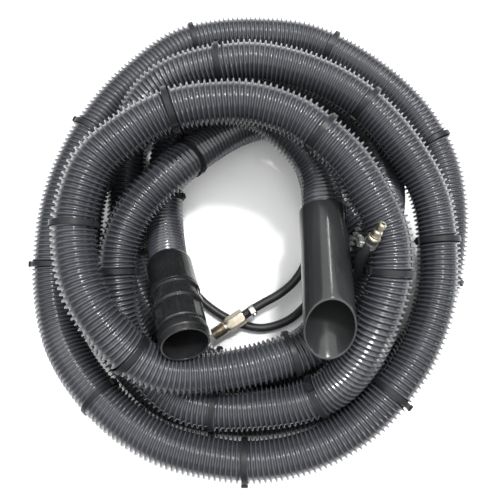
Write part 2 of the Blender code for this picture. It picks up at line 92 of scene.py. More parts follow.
# Dimensions that only the looks have, mm
RIB_PITCH = 7.0
RIB_PHASE = (0.0, 0.17, 0.33, 0.84)         # one rib's four rings, as shares of its pitch
RIB_RADIUS = (29.0, 29.0, 25.0, 25.0)
HOSE_BORE_R = 23.5
BORE_STEP = 42.0
STRAP_SLACK = 0.3
PANELS = 10
PANEL_R = 30.4              # from the cuff's axis to the flats between its ribs
THREADS = 12
THREAD_PITCH = 1.85

HOSE_DARK = (0.035, 0.037, 0.043)
HOSE_LIGHT = (0.053, 0.056, 0.064)
# painted shade: the dark colour that the hose's grooves and its bore are blended towards
HOSE_GROOVE_SHADE = (0.018, 0.019, 0.021)
DUST = (0.13, 0.13, 0.13)

LENS = 32.5
CAMERA_PLACE = (-0.3, -99.6, 760.7)
CAMERA_AIM = (-0.3, -23.4, -0.5)
WORLD_COLOUR = (0.95, 0.97, 1.0)
WORLD_STRENGTH = 0.42
LIGHTS = [
    ("key", (500, 1016, 2560), (0, 0, 50), (320, 320), 72.0),
    ("strip", (560, 2030, 1806), (0, 0, 50), (130, 800), 11.0),
    ("top", (100, 250, 3000), (0, 0, 0), (6000, 6000), 275.0),
    ("side", (1500, -100, 500), (80, 0, 150), (300, 300), 4.0),
]

# CAD nodes that stay, with the material and slot of each
KEPT = {
    "cuff_retaining_ring": ("steel", "clamp_steel"),
    "cuff_seal": ("rubber", "rubber_black"),
    "nozzle_gasket": ("rubber", "rubber_black"),
    "plug_clamp_housing": ("steel", "clamp_steel"),
    "thread_clamp_housing": ("steel", "clamp_steel"),
}


# Centreline of the hose, mm, from inside the cuff to inside the nozzle.  Each
# row is a stretch between two landmarks.  The turns are pushed clear of each
# other by settle(), so these points only have to be right to a centimetre.
ROUTE = [
    # from the cuff, along the floor, over the top of the coil and its right side
    (-114, -65, 119), (-120, -49, 104), (-130, -21, 79), (-137, 3, 62), (-143, 40, 49),
    (-144, 90, 46), (-134, 160, 46), (-78, 240, 46), (-40, 262, 46), (5, 270, 46),
    (60, 256, 46), (115, 232, 46), (165, 197, 46), (202, 150, 46), (218, 100, 50),
    (214, 55, 76), (195, 9, 106), (171, -34, 108), (152, -76, 97), (118, -124, 107),
    # third turn: across the bottom, up the left side on top of the others
    (81, -160, 117), (41, -172, 122), (0, -180, 126), (-60, -185, 128), (-108, -181, 138),
    (-153, -156, 156), (-189, -112, 176), (-212, -72, 181), (-226, -16, 181), (-226, 28, 182),
    (-204, 90, 187), (-165, 125, 187), (-134, 146, 187), (-98, 160, 188), (-50, 167, 189),
    (0, 166, 190), (61, 144, 190), (90, 121, 190), (121, 92, 188), (148, 48, 187),
    (170, -2, 184), (172, -60, 181), (161, -104, 174), (148, -142, 160), (132, -176, 142),
    # second turn: down one layer, across the bottom and up the left side
    (106, -208, 124), (69, -228, 114), (0, -240, 106), (-55, -240, 103), (-98, -228, 100),
    (-136, -194, 99), (-164, -150, 100), (-180, -108, 108), (-186, -68, 116), (-187, -11, 119),
    (-173, 31, 122), (-152, 64, 123), (-127, 92, 121), (-102, 122, 107), (-76, 151, 88),
    (-46, 178, 70), (-14, 198, 56), (20, 206, 48),
    # hidden lowest turn
    (55, 196, 46), (85, 168, 46), (110, 132, 46), (138, 90, 46), (170, 45, 46), (203, -5, 46),
    (207, -78, 46), (157, -158, 46), (78, -193, 46), (0, -202, 46), (-68, -192, 46),
    (-138, -142, 46), (-180, -80, 46), (-198, 0, 46), (-200, 95, 46), (-198, 165, 52),
    # outer turn of the second layer
    (-184, 200, 72), (-148, 233, 94), (-111, 249, 106), (-48, 259, 117), (0, 261, 120),
    (73, 244, 120), (134, 214, 118), (176, 178, 116), (214, 130, 114), (250, 60, 112),
    (260, -11, 112), (255, -80, 114), (230, -149, 117), (197, -197, 120), (149, -246, 118),
    (80, -284, 114), (0, -298, 110), (-68, -289, 108), (-125, -272, 104),
    # outermost turn, down to the floor
    (-183, -240, 96), (-240, -190, 80), (-284, -132, 60), (-307, -58, 49), (-309, -4, 49),
    (-301, 74, 48), (-276, 146, 48), (-238, 211, 47), (-190, 268, 47), (-116, 326, 47),
    (-57, 343, 46), (0, 347, 46), (82, 340, 46), (139, 317, 46), (212, 266, 46),
    (267, 207, 46), (304, 132, 46), (315, 51, 46), (308, -20, 46), (293, -82, 46),
    # in under the outer turns, up the left side and over the top to the nozzle
    (258, -150, 46), (205, -205, 46), (140, -243, 46), (72, -264, 46), (0, -272, 46),
    (-70, -264, 46), (-132, -243, 46), (-186, -194, 48), (-226, -128, 60), (-250, -68, 76),
    (-254, 0, 88), (-246, 53, 102), (-222, 106, 115), (-177, 149, 122), (-122, 168, 123),
    (-49, 187, 122), (15, 176, 120), (61, 142, 115), (88, 108, 112), (98, 70, 118),
    (98, 42, 130), (97, -7, 150),
]
# Free tails of the air line, mm, each listed from the hose to its fitting.
PLUG_TAIL = [
    (-139, 50, 11), (-134, 15, 12), (-124, -25, 12), (-108, -60, 11), (-86, -90, 9),
    (-40, -122, 8.5), (12, -137, 8.5), (55, -126, 10), (80, -106, 22), (91, -88, 45),
    (94, -77, 72), (96, -67, 101), (106, -54, 130), (134, -61, 144), (140, -51, 160),
    (137, -43, 177), (136, -35, 194), (138, -27, 210), (144, -15.5, 222),
]
THREAD_TAIL = [
    (92, 98, 74), (97, 62, 70), (97, 28, 60), (92, -8, 44), (82, -38, 33), (66, -62, 29.5),
    (42, -82, 29.5), (20, -94, 29.5), (-2.7, -107.5, 29.5), (-14.2, -115.5, 29.5),
]

CENTRING = (4.2, -16.4, -0.5)  # moves the whole coil over the origin, down onto z = 0



# ---------------------------------------------------------------- centreline
def even_curve(points, step):
    """Points at an even spacing along a smooth curve through the given ones."""
    p = np.asarray(points, float)
    p = np.vstack([2 * p[0] - p[1], p, 2 * p[-1] - p[-2]])
    u = np.linspace(0, 1, 40, endpoint=False)[:, None]
    dense = []
    for p0, p1, p2, p3 in zip(p[:-3], p[1:-2], p[2:-1], p[3:]):
        a, b, c = (math.sqrt(np.linalg.norm(q - r)) for q, r in ((p1, p0), (p2, p1), (p3, p2)))
        m1 = b * ((p1 - p0) / a - (p2 - p0) / (a + b) + (p2 - p1) / b)
        m2 = b * ((p2 - p1) / b - (p3 - p1) / (b + c) + (p3 - p2) / c)
        dense.append((2 * u**3 - 3 * u**2 + 1) * p1 + (u**3 - 2 * u**2 + u) * m1
                     + (3 * u**2 - 2 * u**3) * p2 + (u**3 - u**2) * m2)
    dense = np.vstack(dense + [p[-2:-1]])
    along = np.r_[0, np.cumsum(np.linalg.norm(np.diff(dense, axis=0), axis=1))]
    wanted = np.linspace(0, along[-1], max(2, round(along[-1] / step) + 1))
    return np.column_stack([np.interp(wanted, along, dense[:, k]) for k in range(3)])


def hose_frames(path):
    """Tangent, downward and sideways directions at each point of a path."""
    tangent = np.gradient(path, axis=0)
    tangent /= np.linalg.norm(tangent, axis=1)[:, None]
    down = np.array([0, 0, -1.0]) + tangent[:, 2:3] * tangent
    down /= np.linalg.norm(down, axis=1)[:, None]
    return tangent, down, np.cross(tangent, down)


def line_direction(path, roll):
    """Direction from the hose's centre to the air line, turned by roll from straight down."""
    _, down, side = hose_frames(path)
    return np.cos(roll)[:, None] * down + np.sin(roll)[:, None] * side


LINE_OFFSET = HOSE_R + LINE_R + 0.4


def shove(points, places, others, other_places, reach):
    """Mean move that takes each point out of reach of the others, its own stretch left out."""
    apart = points[:, None, :] - others[None, :, :]
    distance = np.linalg.norm(apart, axis=2)
    distance[np.abs(places[:, None] - other_places[None, :]) < OWN_STRETCH] = 1e9
    depth = np.clip(reach - distance, 0, None)
    total = (apart * (depth / distance)[:, :, None]).sum(axis=1)
    return total / np.maximum((depth > 0).sum(axis=1), 1)[:, None]


def blur(values, strength):
    """Smooth a row of values along the hose, the ends left as they are."""
    out = values.copy()
    out[1:-1] = (1 - 2 * strength) * values[1:-1] + strength * (values[:-2] + values[2:])
    return out


def straight_on(path, reach):
    """Points straight on from the end of a path, for the piece that holds it."""
    axis = (path[-1] - path[-2]) / np.linalg.norm(path[-1] - path[-2])
    return path[-1] + np.arange(SAMPLE_STEP, reach, SAMPLE_STEP)[:, None] * axis


def settle(start):
    """Push the turns and the air line clear of each other, the end pieces and the floor.

    Returns the hose's centreline and the air line's roll about it.  The two
    ends stay where they are, because the cuff and the nozzle hold them.
    """
    cuff = straight_on(start[::-1], CUFF_LENGTH - CUFF_SOCKET + SAMPLE_STEP)
    nozzle = straight_on(start, NOZZLE_LONG - NOZZLE_SOCKET)
    ends = np.vstack([cuff, nozzle])
    end_radius = np.r_[np.full(len(cuff), CUFF_R), np.full(len(nozzle), NOZZLE_R)]
    places = np.arange(len(start)) * SAMPLE_STEP
    last = places[-1]
    end_places = np.r_[-SAMPLE_STEP * np.arange(1, len(cuff) + 1),
                       last + SAMPLE_STEP * np.arange(1, len(nozzle) + 1)]
    moved = np.zeros_like(start)
    roll = np.zeros(len(start))
    free = np.clip((np.minimum(places, last - places) - 70) / 100, 0, 1)[:, None]
    for _ in range(SETTLE_ROUNDS):
        hose = start + moved
        toward = line_direction(hose, roll)
        _, down, side = hose_frames(hose)
        around = -np.sin(roll)[:, None] * down + np.cos(roll)[:, None] * side
        move = 0.6 * shove(hose, places, hose, places, 2 * HOSE_R + TURN_GAP)
        move += 0.6 * shove(hose, places, ends, end_places, HOSE_R + END_GAP + end_radius)
        for share, radius in ((1.0, LINE_R), (0.5, (HOSE_R + LINE_R) / 2)):
            beside = hose + share * LINE_OFFSET * toward
            reach = radius + HOSE_R + LINE_GAP
            pushed = shove(beside, places, hose, places, reach)
            pushed += shove(beside, places, ends, end_places, radius + LINE_GAP + end_radius)
            pushed[:, 2] += np.clip(radius + TIE_SLACK + TIE_THICK + 1 - beside[:, 2], 0, None)
            roll = roll + 0.6 * (pushed * around).sum(axis=1) / LINE_OFFSET
            move += 0.7 * shove(hose, places, beside, places, reach)
            move += 0.6 * (pushed * toward).sum(axis=1)[:, None] * toward
        roll = blur(blur(0.999 * roll, 0.25), 0.25)
        move[:, 2] += np.clip(HOSE_R + 2 - hose[:, 2], 0, None)
        moved = moved + move * free
        moved = 0.998 * (moved + (blur(blur(moved, 0.25), 0.25) - moved) * free)
    return start + moved, roll


def tail_points(tail):
    """A free tail's points, moved with the coil over the origin."""
    return [tuple(np.array(point) + CENTRING) for point in tail]


class Lay:
    """The settled hose.  Places along it are arc lengths in mm, one or an array of them."""

    def __init__(self):
        path, self.roll = settle(even_curve(ROUTE, SAMPLE_STEP))
        self.path = path + np.array(CENTRING)
        steps = np.linalg.norm(np.diff(self.path, axis=0), axis=1)
        self.along = np.r_[0, np.cumsum(steps)]
        self.length = self.along[-1]
        self.slope = np.gradient(self.path, self.along, axis=0)
        self.toward = line_direction(self.path, self.roll)

    def at(self, s):
        """Centre, tangent and direction to the air line at arc lengths s, on a smooth curve."""
        s = np.asarray(s, float)
        i = np.clip(np.searchsorted(self.along, s, side="right") - 1, 0, len(self.along) - 2)
        h = (self.along[i + 1] - self.along[i])[..., None]
        u = (s - self.along[i])[..., None] / h
        p0, p1, m0, m1 = self.path[i], self.path[i + 1], h * self.slope[i], h * self.slope[i + 1]
        centre = ((2 * u**3 - 3 * u**2 + 1) * p0 + (u**3 - 2 * u**2 + u) * m0
                  + (3 * u**2 - 2 * u**3) * p1 + (u**3 - u**2) * m1)
        tangent = (6 * u**2 - 6 * u) * (p0 - p1) + (3 * u**2 - 4 * u + 1) * m0 + (3 * u**2 - 2 * u) * m1
        tangent /= np.linalg.norm(tangent, axis=-1, keepdims=True)
        down = np.array([0, 0, -1.0]) + tangent[..., 2:3] * tangent
        down /= np.linalg.norm(down, axis=-1, keepdims=True)
        roll = np.interp(s, self.along, self.roll)[..., None]
        return centre, tangent, np.cos(roll) * down + np.sin(roll) * np.cross(tangent, down)

    def line_at(self, s):
        """Centre of the air line beside arc lengths s of the hose."""
        centre, _, toward = self.at(s)
        return centre + LINE_OFFSET * toward


# ---------------------------------------------------------------- materials
def shader_of(material):
    return material.node_tree.nodes["Principled BSDF"]


def node(material, kind, **inputs):
    """A new node, its inputs set by name with _ for a space."""
    made = material.node_tree.nodes.new(kind)
    for name, value in inputs.items():
        made.inputs[name.replace("_", " ")].default_value = value
    return made


def noise(material, scale, detail=3.0, stretch=None):
    """A noise texture in the object's own metres."""
    place = material.node_tree.nodes.new("ShaderNodeTexCoord")
    source = place.outputs["Object"]
    if stretch:
        mapping = node(material, "ShaderNodeMapping", Scale=stretch)
        material.node_tree.links.new(source, mapping.inputs["Vector"])
        source = mapping.outputs["Vector"]
    texture = node(material, "ShaderNodeTexNoise", Scale=scale, Detail=detail)
    material.node_tree.links.new(source, texture.inputs["Vector"])
    return texture.outputs["Fac"]


def ranged(material, source, low, high, start=0.3, stop=0.7):
    """A value turned into the range from low to high."""
    made = node(material, "ShaderNodeMapRange", From_Min=start, From_Max=stop, To_Min=low, To_Max=high)
    material.node_tree.links.new(source, made.inputs["Value"])
    return made.outputs["Result"]


def blend(material, factor, first, second):
    """A colour between two, or two colour outputs, by a value."""
    mix = material.node_tree.nodes.new("ShaderNodeMix")
    mix.data_type = "RGBA"
    links = material.node_tree.links
    links.new(factor, mix.inputs["Factor"])
    for socket, colour in ((mix.inputs["A"], first), (mix.inputs["B"], second)):
        if isinstance(colour, tuple):
            socket.default_value = (*colour, 1.0)
        else:
            links.new(colour, socket)
    return mix.outputs["Result"]


def attribute(material, name):
    """A value that the mesh carries at its points."""
    made = material.node_tree.nodes.new("ShaderNodeAttribute")
    made.attribute_name = name
    return made.outputs["Fac"]


def bump(material, height, strength, distance_mm):
    """Fine relief from a value."""
    made = node(material, "ShaderNodeBump", Strength=strength, Distance=distance_mm * MM)
    material.node_tree.links.new(height, made.inputs["Height"])
    material.node_tree.links.new(made.outputs["Normal"], shader_of(material).inputs["Normal"])


def finish_material(name, dark, light, rough, metallic=0.0, patch=35.0, grain=900.0,
                    grain_mm=0.05, stretch=None, specular=0.5):
    """A surface with cloudy colour and gloss, and a fine grain."""
    material = bpy.data.materials.new(name)
    material.use_nodes = True
    shader = shader_of(material)
    links = material.node_tree.links
    clouds = noise(material, patch)
    colour = blend(material, ranged(material, clouds, 0.0, 1.0), dark, light)
    links.new(colour, shader.inputs["Base Color"])
    links.new(ranged(material, noise(material, patch * 2.7), *rough), shader.inputs["Roughness"])
    shader.inputs["Metallic"].default_value = metallic
    shader.inputs["Specular IOR Level"].default_value = specular
    bump(material, noise(material, grain, 2.0, stretch), 0.35, grain_mm)
    return material


def hose_material():
    """Soft grey PVC: glossy crests, grooves darkened by painted shade, a little dust."""
    material = finish_material("hose_grey", HOSE_DARK, HOSE_LIGHT, (0.17, 0.25), patch=18.0,
                               grain=700.0, grain_mm=0.04)
    shader = shader_of(material)
    links = material.node_tree.links
    plain = shader.inputs["Base Color"].links[0].from_socket
    # painted shade: the deeper a point lies in a groove, the more its colour goes to the painted shade
    # colour; the bore takes it fully
    groove_shade = ranged(material, attribute(material, "groove_shade"), 0.0, 0.8, 0.1, 1.0)
    groove_shaded = blend(material, groove_shade, plain, HOSE_GROOVE_SHADE)
    speck = ranged(material, noise(material, 260.0, 4.0), 0.0, 0.16, 0.62, 0.82)
    links.new(blend(material, speck, groove_shaded, DUST), shader.inputs["Base Color"])
    return material


def pipe_material():
    """Drawn pipe: glossy, with faint streaks along it and a paler cut edge."""
    material = finish_material("pipe_grey", (0.013, 0.0135, 0.0138), (0.020, 0.0205, 0.021), (0.13, 0.21),
                               patch=14.0, specular=0.35)
    shader = shader_of(material)
    links = material.node_tree.links
    streak = material.node_tree.nodes.new("ShaderNodeTexNoise")
    streak.noise_dimensions = "1D"
    streak.inputs["Scale"].default_value = 14.0
    streak.inputs["Detail"].default_value = 4.0
    links.new(attribute(material, "around"), streak.inputs["W"])
    bump(material, streak.outputs["Fac"], 0.25, 0.12)
    plain = shader.inputs["Base Color"].links[0].from_socket
    edge = blend(material, attribute(material, "edge"), plain, (0.040, 0.041, 0.043))
    links.new(edge, shader.inputs["Base Color"])
    return material


def make_materials():
    metal = {"metallic": 1.0, "patch": 90.0, "grain": 1500.0, "grain_mm": 0.02}
    return {
        "hose": hose_material(),
        "rubber": finish_material("rubber_black", (0.009, 0.0095, 0.0105), (0.017, 0.018, 0.020),
                                  (0.40, 0.52), patch=40.0, grain=1400.0, grain_mm=0.06,
                                  specular=0.35),
        "tie": finish_material("tie_black", (0.007, 0.007, 0.008), (0.013, 0.013, 0.015), (0.36, 0.48),
                               specular=0.2),
        "cuff": finish_material("cuff_black", (0.006, 0.0062, 0.0066), (0.010, 0.0103, 0.011),
                                (0.22, 0.34), patch=30.0, grain=1100.0, grain_mm=0.05),
        "pipe": pipe_material(),
        "steel": finish_material("clamp_steel", (0.30, 0.30, 0.28), (0.42, 0.42, 0.40), (0.28, 0.42),
                                 **metal),
        "nickel": finish_material("fitting_nickel", (0.30, 0.27, 0.215), (0.44, 0.40, 0.32), (0.26, 0.42),
                                  **metal),
    }


# ---------------------------------------------------------------- meshes
def grid_faces(index):
    """Quads between the rows and columns of a grid of vertex numbers."""
    corners = (index[:-1, :-1], index[:-1, 1:], index[1:, 1:], index[1:, :-1])
    return np.stack(corners, axis=-1).reshape(-1, 4)


def closed(index, rows=False, columns=True):
    """A grid of vertex numbers that meets itself again."""
    if columns:
        index = np.hstack([index, index[:, :1]])
    if rows:
        index = np.vstack([index, index[:1]])
    return index


def mesh_piece(name, points_mm, faces, material, values=None, crease_deg=40):
    """One welded piece from points and faces, with named values at its points."""
    mesh = bpy.data.meshes.new(name)
    mesh.from_pydata((np.asarray(points_mm).reshape(-1, 3) * MM).tolist(), [], faces.tolist())
    for key, row in (values or {}).items():
        layer = mesh.attributes.new(key, "FLOAT", "POINT")
        layer.data.foreach_set("value", np.asarray(row, np.float32).ravel())
    bm = bmesh.new()
    bm.from_mesh(mesh)
    bmesh.ops.remove_doubles(bm, verts=bm.verts, dist=0.002 * MM)
    bmesh.ops.recalc_face_normals(bm, faces=bm.faces)
    bm.to_mesh(mesh)
    bm.free()
    mesh.shade_smooth()
    mesh.set_sharp_from_angle(angle=math.radians(crease_deg))
    mesh.materials.append(material)
    obj = bpy.data.objects.new(name, mesh)
    bpy.context.scene.collection.objects.link(obj)
    return obj


def placed(obj, frame):
    """Move a piece's mesh by a frame, so that the object itself stays at the origin."""
    obj.data.transform(frame)
    return obj


def dress(obj, body, slot, *nodes):
    """A piece rides on a body and stands for CAD nodes, which it hides; slot is not used."""
    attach(obj, body)
    if nodes:
        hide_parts(*nodes)
    return obj


def frame_at(origin_mm, z_axis, x_hint=(1, 0, 0)):
    """A matrix with its Z along z_axis and its X near x_hint."""
    z = Vector(z_axis).normalized()
    y = z.cross(Vector(x_hint)).normalized()
    x = y.cross(z)
    matrix = Matrix((x, y, z)).transposed().to_4x4()
    matrix.translation = Vector(origin_mm) * MM
    return matrix


def filleted(profile, size=0.5, loop=True):
    """A profile with each of its corners rounded off by up to size mm."""
    p = [np.array(q, float) for q in profile]
    out = []
    for k, corner in enumerate(p):
        if not loop and k in (0, len(p) - 1):
            out.append(corner)
            continue
        before, after = p[k - 1] - corner, p[(k + 1) % len(p)] - corner
        near = [v / np.linalg.norm(v) * min(size, 0.4 * np.linalg.norm(v)) for v in (before, after)]
        a, b = corner + near[0], corner + near[1]
        out += [(1 - t) ** 2 * a + 2 * t * (1 - t) * corner + t**2 * b for t in (0, 0.35, 0.65, 1)]
    return np.array(out)


def lathe(name, profile, frame, material, steps=96, shape=None, loop=True, values=None):
    """A turned piece: a profile of (radius, height) in mm about the frame's Z.

    shape(angle, radius, height) may move its points, and values(angle, radius, height)
    gives the named values that its material reads.
    """
    angle = np.linspace(0, 2 * math.pi, steps, endpoint=False)[None, :]
    profile = np.asarray(profile, float)
    radius = profile[:, :1] + 0 * angle
    height = profile[:, 1:] + 0 * angle
    angle = angle + 0 * radius
    read = values(angle, radius, height) if values else None
    if shape:
        radius, height = shape(angle, radius, height)
    points = np.stack([radius * np.cos(angle), radius * np.sin(angle), height], axis=-1)
    index = np.arange(points[..., 0].size).reshape(radius.shape)
    faces = grid_faces(closed(index, rows=loop))
    return placed(mesh_piece(name, points, faces, material, read), frame)


def sector(angle, count):
    """The angle from the middle of the nearest of count equal sectors."""
    width = 2 * math.pi / count
    return np.mod(angle + width / 2, width) - width / 2


def step_between(x, low, high):
    """0 below low, 1 above high and a smooth step between them."""
    t = np.clip((x - low) / (high - low), 0, 1)
    return t * t * (3 - 2 * t)


# ---------------------------------------------------------------- hose and air line
def make_hose(lay, materials):
    """The suction hose: a helical rib outside, a smooth bore inside."""
    sides, rows_per_rib = 20, len(RIB_PHASE)
    ribs = math.ceil(lay.length / RIB_PITCH) + 2
    row = np.arange(ribs * rows_per_rib)
    phase = row // rows_per_rib + np.array(RIB_PHASE)[row % rows_per_rib]
    column = np.arange(sides)
    raw = RIB_PITCH * (phase[:, None] + column[None, :] / sides - 1)
    s = np.clip(raw, 0, lay.length)
    radius = np.where(raw == s, np.array(RIB_RADIUS)[row % rows_per_rib][:, None], RIB_RADIUS[-1])
    centre, tangent, _ = lay.at(s)
    down = np.array([0, 0, -1.0]) + tangent[..., 2:3] * tangent
    down /= np.linalg.norm(down, axis=-1, keepdims=True)
    side = np.cross(tangent, down)
    angle = (2 * math.pi * column / sides)[None, :, None]
    outer = centre + radius[..., None] * (np.cos(angle) * down + np.sin(angle) * side)
    index = np.arange(s.size).reshape(s.shape)
    seam = index[rows_per_rib:, :1]
    faces = [grid_faces(np.hstack([index[:-rows_per_rib], seam]))]
    # how deep each point lies in a groove, carried to the material as the amount of painted shade
    groove_shade = (HOSE_R - radius) / (HOSE_R - min(RIB_RADIUS))

    # the bore, with the end faces
    places = np.linspace(0, lay.length, round(lay.length / BORE_STEP))
    places = np.r_[0, places, lay.length]
    bore_r = np.full(len(places), HOSE_BORE_R)
    bore_r[[0, -1]] = RIB_RADIUS[-1]
    centre, tangent, _ = lay.at(places)
    down = np.array([0, 0, -1.0]) + tangent[..., 2:3] * tangent
    down /= np.linalg.norm(down, axis=-1, keepdims=True)
    side = np.cross(tangent, down)
    spoke = np.cos(angle) * down[:, None] + np.sin(angle) * side[:, None]
    bore = centre[:, None] + bore_r[:, None, None] * spoke
    bore_index = s.size + np.arange(bore[..., 0].size).reshape(len(places), sides)
    faces.append(grid_faces(closed(bore_index)))
    points = np.vstack([outer.reshape(-1, 3), bore.reshape(-1, 3)])
    # the bore gets the full painted shade
    groove_shade = np.r_[groove_shade.ravel(), np.ones(bore_index.size)]
    hose = mesh_piece("suction_hose", points, np.vstack(faces), materials["hose"], {"groove_shade": groove_shade}, 180)
    return dress(hose, "root", "hose_grey", "vacuum_hose")


def make_line(lay, materials):
    """The rubber air line, from its plug to its threaded fitting, as one curve."""
    places = np.linspace(LINE_START, lay.length - LINE_END, round(lay.length / 30))
    held = list(lay.line_at(places[2:-2]))
    points = even_curve(tail_points(PLUG_TAIL)[::-1] + held + tail_points(THREAD_TAIL), 9.0)
    curve = bpy.data.curves.new("rubber_line", "CURVE")
    curve.dimensions = "3D"
    curve.bevel_depth = LINE_R * MM
    curve.bevel_resolution = 4
    curve.use_fill_caps = True
    spline = curve.splines.new("POLY")
    spline.points.add(len(points) - 1)
    spline.points.foreach_set("co", np.column_stack([points * MM, np.ones(len(points))]).ravel())
    spline.use_smooth = True
    curve.materials.append(materials["rubber"])
    line = bpy.data.objects.new("rubber_line", curve)
    bpy.context.scene.collection.objects.link(line)
    length = np.linalg.norm(np.diff(points, axis=0), axis=1).sum()
    return dress(line, "root", "rubber_black", "air_line"), points, length


# ---------------------------------------------------------------- cable ties
def tie_places(lay):
    """Arc lengths of the ties: closer together on the inner turns than on the outer ones."""
    turning = TIE_START + INNER_TIES * INNER_TIE_PITCH
    places = [FIRST_TIE] + [TIE_START + k * INNER_TIE_PITCH for k in range(INNER_TIES)]
    places += list(np.arange(turning, lay.length - TIE_END_ROOM, OUTER_TIE_PITCH))
    for number, move in TIE_MOVES.items():
        places[number - 1] += move
    return places


def strap_outline(extra):
    """A snug loop round the hose and the air line, the line straight down, in mm."""
    big, small = HOSE_R + STRAP_SLACK + extra, LINE_R + STRAP_SLACK + extra
    spread = math.acos((big - small) / LINE_OFFSET)
    loop = [(big, a, 0.0) for a in np.linspace(spread, 2 * math.pi - spread, 40)]
    loop += [(small, a, LINE_OFFSET) for a in np.linspace(-spread, spread, 12)]
    return [(r * math.sin(a), -drop - r * math.cos(a)) for r, a, drop in loop]


def strap(name, material):
    """A flat nylon band with softened edges, its Z along the hose."""
    half, soft = TIE_WIDTH / 2, 0.3
    section = [(0, soft - half), (soft, -half), (TIE_THICK - soft, -half), (TIE_THICK, soft - half),
               (TIE_THICK, half - soft), (TIE_THICK - soft, half), (soft, half), (0, half - soft)]
    rows = [[(x, y, z) for x, y in strap_outline(extra)] for extra, z in section]
    rows = np.array(rows)
    index = np.arange(rows[..., 0].size).reshape(rows.shape[:2])
    return mesh_piece(name, rows, grid_faces(closed(index, rows=True)), material)


def soft_block(size_mm, at_mm, bevel_mm, dish_mm=0.0):
    """A box with softened edges, its outer (+Y) face dished in by dish_mm, as a bmesh."""
    bm = bmesh.new()
    bmesh.ops.create_cube(bm, size=1.0)
    bmesh.ops.scale(bm, vec=Vector(size_mm) * MM, verts=bm.verts)
    bmesh.ops.bevel(bm, geom=bm.edges, offset=bevel_mm * MM, segments=2, affect="EDGES")
    if dish_mm:
        top = max(bm.faces, key=lambda face: face.calc_center_median().y)
        bmesh.ops.inset_individual(bm, faces=[top], thickness=1.2 * MM, depth=0.0)
        bmesh.ops.inset_individual(bm, faces=[top], thickness=0.3 * MM, depth=-dish_mm * MM)
    bmesh.ops.translate(bm, vec=Vector(at_mm) * MM, verts=bm.verts)
    return bm


def add_part(obj, bm, frame=None):
    """Join a bmesh to a piece's mesh."""
    if frame:
        bmesh.ops.transform(bm, matrix=frame, verts=bm.verts)
    extra = bpy.data.meshes.new("extra")
    bm.to_mesh(extra)
    bm.free()
    whole = bmesh.new()
    whole.from_mesh(obj.data)
    whole.from_mesh(extra)
    whole.to_mesh(obj.data)
    whole.free()
    bpy.data.meshes.remove(extra)
    obj.data.shade_smooth()
    obj.data.set_sharp_from_angle(angle=math.radians(40))


def head_turn(lay, s, frame):
    """Where a tie's head has most room, in radians round the hose from the air line."""
    elsewhere = np.abs(lay.along - s) > 4 * HOSE_R
    line = lay.path + LINE_OFFSET * lay.toward
    best_room, best_angle = -HOSE_R, 0.0
    for degrees in range(-180, 180, 15):
        if abs(degrees) < 75:
            continue
        angle = math.radians(degrees)
        spoke = Vector((math.sin(angle), -math.cos(angle), 0)) * (HOSE_R + 5) * MM
        head = np.array(frame @ spoke) / MM
        from_hose = np.linalg.norm(lay.path - head, axis=1)[elsewhere].min() - HOSE_R
        from_line = np.linalg.norm(line - head, axis=1)[elsewhere].min() - LINE_R
        room = min(from_hose, from_line, HEAD_ROOM) - 0.01 * abs(abs(degrees) - 110)
        if room > best_room:
            best_room, best_angle = room, angle
    return best_angle


def make_tie(number, lay, s, materials):
    """One cable tie: the strap, its locking head and the cut end of its tail."""
    centre, tangent, toward = lay.at(s)
    frame = frame_at(centre, tangent, np.cross(-toward, tangent))
    material = materials["tie"]
    tie = strap(f"tie_{number:02d}", material)
    turn = Matrix.Rotation(head_turn(lay, s, frame) + math.pi, 4, "Z")
    out = HOSE_R + STRAP_SLACK + 1.9
    add_part(tie, soft_block((8.0, 4.4, 9.4), (0, out, 0), 0.8, dish_mm=1.0), turn)
    add_part(tie, soft_block((4.5, 1.2, 4.6), (-5.4, out + 0.9, 0), 0.3), turn)
    placed(tie, frame)
    return dress(tie, "root", "tie_black", f"cable_tie_{number:02d}")


# ---------------------------------------------------------------- swivel cuff
def collar_shape(angle, radius, height):
    """Faint flats round the collar's grip."""
    inside = (radius > 32) & (height > 6) & (height < 56)
    flat = 1 - 0.35 * (1 / np.cos(sector(angle, 12)) - 1) - 0.012 * (np.abs(sector(angle, 12)) < 0.03)
    return np.where(inside, radius * flat, radius), height


def body_shape(angle, radius, height):
    """Windows under the first ring and long panels between thin ribs below the second."""
    window = (radius > 31) & (height > 69.5) & (height < 81)
    panel = (radius > 31) & (height > 94) & (height < 124.5)
    off = np.abs(sector(angle, PANELS))
    half = math.pi / PANELS
    radius = np.where(window & (off < 0.72 * half), radius - 1.4, radius)
    flat = PANEL_R / np.cos(off)
    rib = CUFF_R + 0.9
    return np.where(panel, np.where(off > 0.80 * half, rib, flat), radius), height


